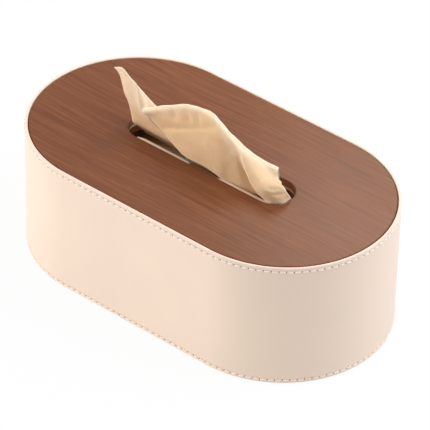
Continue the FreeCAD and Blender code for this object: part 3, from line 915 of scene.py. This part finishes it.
def press_at(point):
    """How far the valleys push back a point of the front ply."""
    place = Vector((point.x / MM, (point.z - LID_TOP) / MM))
    depth = 0.0
    for start, end, deep, above, below in VALLEYS:
        start, end = Vector(start), Vector(end)
        along = end - start
        share = min(max((place - start).dot(along) / along.length_squared, 0.0), 1.0)
        off = place - start - along * share
        depth += deep * MM * bell(off.length, above if along.cross(off) > 0 else below)
    return depth


CREST_ROWS = 5
DENT_RISE = 6 * MM
SMALL_DENTS = 0.6


def rumple(columns, depth, seed, pressed_from=None):
    """Small dents all over a ply, less where it goes into the box, and the valleys from one row on."""
    moved = []
    for index, column in enumerate(columns):
        line = []
        for row, point in enumerate(column):
            side = columns[min(index + 1, len(columns) - 1)][row] - columns[max(index - 1, 0)][row]
            rise = column[min(row + 1, len(column) - 1)] - column[max(row - 1, 0)]
            back = side.cross(rise)
            if back.y < 0:
                back.negate()
            above = min(max((point.z - LID_TOP) / DENT_RISE, 0.0), 1.0)
            broad = noise.noise(Vector((point.x * 70, point.z * 55, seed)))
            small = noise.noise(Vector((point.x * 240, point.z * 170, seed + 9)))
            push = depth * above * (broad + SMALL_DENTS * small)
            if pressed_from is not None and row >= pressed_from:
                push += press_at(point) * min((row - pressed_from) / CREST_ROWS, 1.0)
            line.append(point + back.normalized() * push)
        moved.append(line)
    return moved


# Painted light on the paper: a painted highlight along its edges and folds, and a painted glow of light
# through the rear ply towards its tip and through the front ply over its crest, more widely at the shoulder,
# and on the flap.
RIM_HIGHLIGHT_WIDTH = 0.7 * MM
GLOW_FROM, GLOW_RISE, GLOW_MOST = LID_TOP + 8 * MM, 14 * MM, 0.55
CREST_GLOW, CREST_REACH, SHOULDER_REACH = 0.56, 5.0 * MM, 11.0 * MM
FLAP_GLOW = 0.12
LEG_ROWS = 20
BETWEEN = 7
RIDGE_RIB, SHOULDER_RIB, FLAP_RIB = 4, 6, 9
WIDENING_RIBS = 2.0


def glow_towards_the_tip(index, column, point):
    """Painted glow: the rear ply is painted paler the higher it stands, for light shining through it."""
    return min(max((point.z - GLOW_FROM) / GLOW_RISE, 0.0), GLOW_MOST)


def glow_over_crest_and_flap(index, column, point):
    """Painted glow: the front ply is painted paler over its crest, more widely at the shoulder, and on its
    flap, for light shining through it.
    """
    share = min(max(index / BETWEEN - SHOULDER_RIB + WIDENING_RIBS, 0.0), WIDENING_RIBS) / WIDENING_RIBS
    reach = CREST_REACH + (SHOULDER_REACH - CREST_REACH) * share
    crest = CREST_GLOW * bell((point - column[LEG_ROWS - 1]).length, reach)
    return max(crest, FLAP_GLOW if index > BETWEEN * FLAP_RIB else 0.0)


def mark_painted_light(ply, columns, along, across, glow_share):
    """Marks where painted light goes on the paper: a painted highlight at its edges and folds, and a painted
    glow where light shines through.

    along holds columns, each with the row from which it is marked, and across holds rows.
    """
    marks = []
    for index, column in enumerate(columns):
        for row, point in enumerate(column):
            near = [columns[line][max(row, first)] for line, first in along]
            near += [column[line] for line in across]
            edge = max(bell((point - place).length, RIM_HIGHLIGHT_WIDTH) for place in near)
            marks.append(max(edge, glow_share(index, column, point)))
    ply.data.attributes.new("painted_light_share", "FLOAT", "POINT").data.foreach_set("value", marks)


RIDGE_FROM, FLAP_FROM = 26, 30
REAR_ROWS, FALL_ROWS = 44, 40
PLY = 0.25 * MM
TAIL_FROM = -24
rear_ribs = []
for rib in REAR_RIBS:
    x, y, _ = rib[0]
    bend = ((0.97 * x, 0.3 * y + 1.4, -3.4), (0.99 * x, 0.8 * y + 0.3, -1.2))
    if x > TAIL_FROM:
        bend = ((0.94 * x, 2.2, -22), (0.94 * x, 2, -8)) + bend
    else:
        bend = ((0.95 * x, y + 10, -13), (0.955 * x, y + 7, -9), (0.965 * x, y + 4, -5.2),
                (0.985 * x, y + 1.4, -1.8))
    rear_ribs.append(even_points(bend + rib, REAR_ROWS))
front_ribs = []
for (x, y), fall in FRONT_RIBS:
    top_x, top_y, top = fall[0]
    rise = ((top_x + x) / 2, (top_y + y) / 2 + 0.6, top / 2)
    leg = ((x - 0.17 * (top_x - x), y + 1.2, -20), (x, y, 0), rise,
           (top_x - 0.8, top_y + 1, top - 0.6), fall[0])
    rounded = (fall[0], (top_x + 0.9, top_y - 1.5, top - 0.3)) + fall[1:]
    front_ribs.append(even_points(leg, LEG_ROWS) + even_points(rounded, FALL_ROWS)[1:])
rear_columns = rumple(spread_ribs(rear_ribs, BETWEEN), depth=0.4 * MM, seed=3.0)
front_columns = rumple(spread_ribs(front_ribs, BETWEEN), depth=0.45 * MM, seed=17.0, pressed_from=LEG_ROWS)
napkin_finish = tissue("drawn_tissue", shade(232, 196, 154), shade(224, 186, 144), glow=0.5)
for name, columns, flat, area, along, across, glow_share in (
        ("napkin_rear_ply", rear_columns, (0.13, 0.06), 0.0047,
         ((0, 0), (BETWEEN * RIDGE_RIB, RIDGE_FROM)), (-1,), glow_towards_the_tip),
        ("napkin_front_ply", front_columns, (0.125, 0.1), 0.0073,
         ((0, 0), (BETWEEN * FLAP_RIB, FLAP_FROM), (-1, 0)), (LEG_ROWS - 1, -1), glow_over_crest_and_flap)):
    ply = sewn_grid(name, columns)
    mark_painted_light(ply, columns, along, across, glow_share)
    apply_modifier(ply, "SOLIDIFY", thickness=PLY, offset=0.0)
    only(ply)
    bpy.ops.object.shade_smooth()
    coat(ply, napkin_finish)
    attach(ply, "napkin")
    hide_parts("pulled_napkin")

# Studio. A white paper floor that keeps a faint shadow, white all round, a large soft light high at the back
# right, one low at the left, and a small one at the back left that the lid's lacquer mirrors.
FLOOR_DROP = 0.2 * MM
bpy.ops.object.select_all(action="DESELECT")
bpy.ops.mesh.primitive_circle_add(vertices=64, radius=6.0, fill_type="NGON", location=(0, 0, -FLOOR_DROP))
floor = bpy.context.object
floor.name = "studio_floor"
bpy.ops.object.transform_apply(location=True)


def seen_as_white(tree):
    """1 for rays from the camera, by way of gloss or glass too, and 0 for the rest."""
    path = tree.nodes.new("ShaderNodeLightPath")
    total = path.outputs["Is Camera Ray"]
    for name in ("Is Glossy Ray", "Is Transmission Ray"):
        either = tree.nodes.new("ShaderNodeMath")
        either.operation = "MAXIMUM"
        tree.links.new(total, either.inputs[0])
        tree.links.new(path.outputs[name], either.inputs[1])
        total = either.outputs["Value"]
    return total


paper = bpy.data.materials.new("studio_paper")
paper.use_nodes = True
tree = paper.node_tree
tree.nodes.remove(tree.nodes["Principled BSDF"])
matt = tree.nodes.new("ShaderNodeBsdfDiffuse")
matt.inputs["Color"].default_value = (0.85, 0.85, 0.85, 1.0)
glow = tree.nodes.new("ShaderNodeEmission")
share = tree.nodes.new("ShaderNodeMapRange")
share.inputs["To Min"].default_value = 0.7
share.inputs["To Max"].default_value = 0.94
tree.links.new(seen_as_white(tree), share.inputs["Value"])
mix = tree.nodes.new("ShaderNodeMixShader")
tree.links.new(share.outputs["Result"], mix.inputs["Fac"])
tree.links.new(matt.outputs["BSDF"], mix.inputs[1])
tree.links.new(glow.outputs["Emission"], mix.inputs[2])
tree.links.new(mix.outputs["Shader"], tree.nodes["Material Output"].inputs["Surface"])
coat(floor, paper)

world = bpy.data.worlds.new("studio_white")
world.use_nodes = True
bpy.context.scene.world = world
tree = world.node_tree
sky = tree.nodes["Background"]
level = tree.nodes.new("ShaderNodeMapRange")
level.inputs["To Min"].default_value = 0.3
level.inputs["To Max"].default_value = 1.0
tree.links.new(seen_as_white(tree), level.inputs["Value"])
sky.inputs["Color"].default_value = (1.0, 1.0, 1.0, 1.0)
tree.links.new(level.outputs["Result"], sky.inputs["Strength"])

AIM = Vector((0, 0, 45 * MM))


def softbox(name, azimuth, elevation, distance, size, watts, colour=(1.0, 1.0, 1.0)):
    """A square area light aimed at the box. Azimuth 0 is in front of it and 90 at its right."""
    lamp = bpy.data.lights.new(name, "AREA")
    lamp.size = size
    lamp.energy = watts
    lamp.color = colour
    box = bpy.data.objects.new(name, lamp)
    turn, rise = math.radians(azimuth), math.radians(elevation)
    way = Vector((math.sin(turn) * math.cos(rise), -math.cos(turn) * math.cos(rise), math.sin(rise)))
    box.location = AIM + way * distance
    box.rotation_euler = way.to_track_quat("Z", "Y").to_euler()
    box.visible_camera = False
    bpy.context.collection.objects.link(box)


softbox("light_right_back", 122, 50, 1.0, 0.8, 9.2, colour=(0.83, 0.89, 1.0))
softbox("light_left", -45, 25, 1.4, 1.4, 16.6)
softbox("light_back_left", 197.5, 47.5, 0.478, 0.17, 0.62, colour=(1.0, 0.91, 0.77))

bpy.context.scene.view_settings.view_transform = "Standard"

# Camera. A long lens from the front right, well above the lid, turned a little about its own line of sight.
# Its place was fitted to the lid's outline and the box's silhouette.
TARGET = Vector((2.41, 2.39, 44.58)) * MM
DISTANCE = 2183.73 * MM
AZIMUTH, ELEVATION, ROLL = (math.radians(angle) for angle in (38.88, 37.57, 1.47))
away = math.cos(ELEVATION)
back = Vector((math.sin(AZIMUTH) * away, -math.cos(AZIMUTH) * away, math.sin(ELEVATION)))
right = Vector((math.cos(AZIMUTH), math.sin(AZIMUTH), 0))
up = back.cross(right)
right, up = (right * math.cos(ROLL) + up * math.sin(ROLL), up * math.cos(ROLL) - right * math.sin(ROLL))
lens = bpy.data.cameras.new("camera")
lens.sensor_width = 36.0
lens.lens = 298.77
lens.clip_start, lens.clip_end = 0.1, 50.0
camera = bpy.data.objects.new("camera", lens)
axes = Matrix((right, up, back)).transposed().to_4x4()
camera.matrix_world = Matrix.Translation(TARGET + back * DISTANCE) @ axes
bpy.context.collection.objects.link(camera)
bpy.context.scene.camera = camera
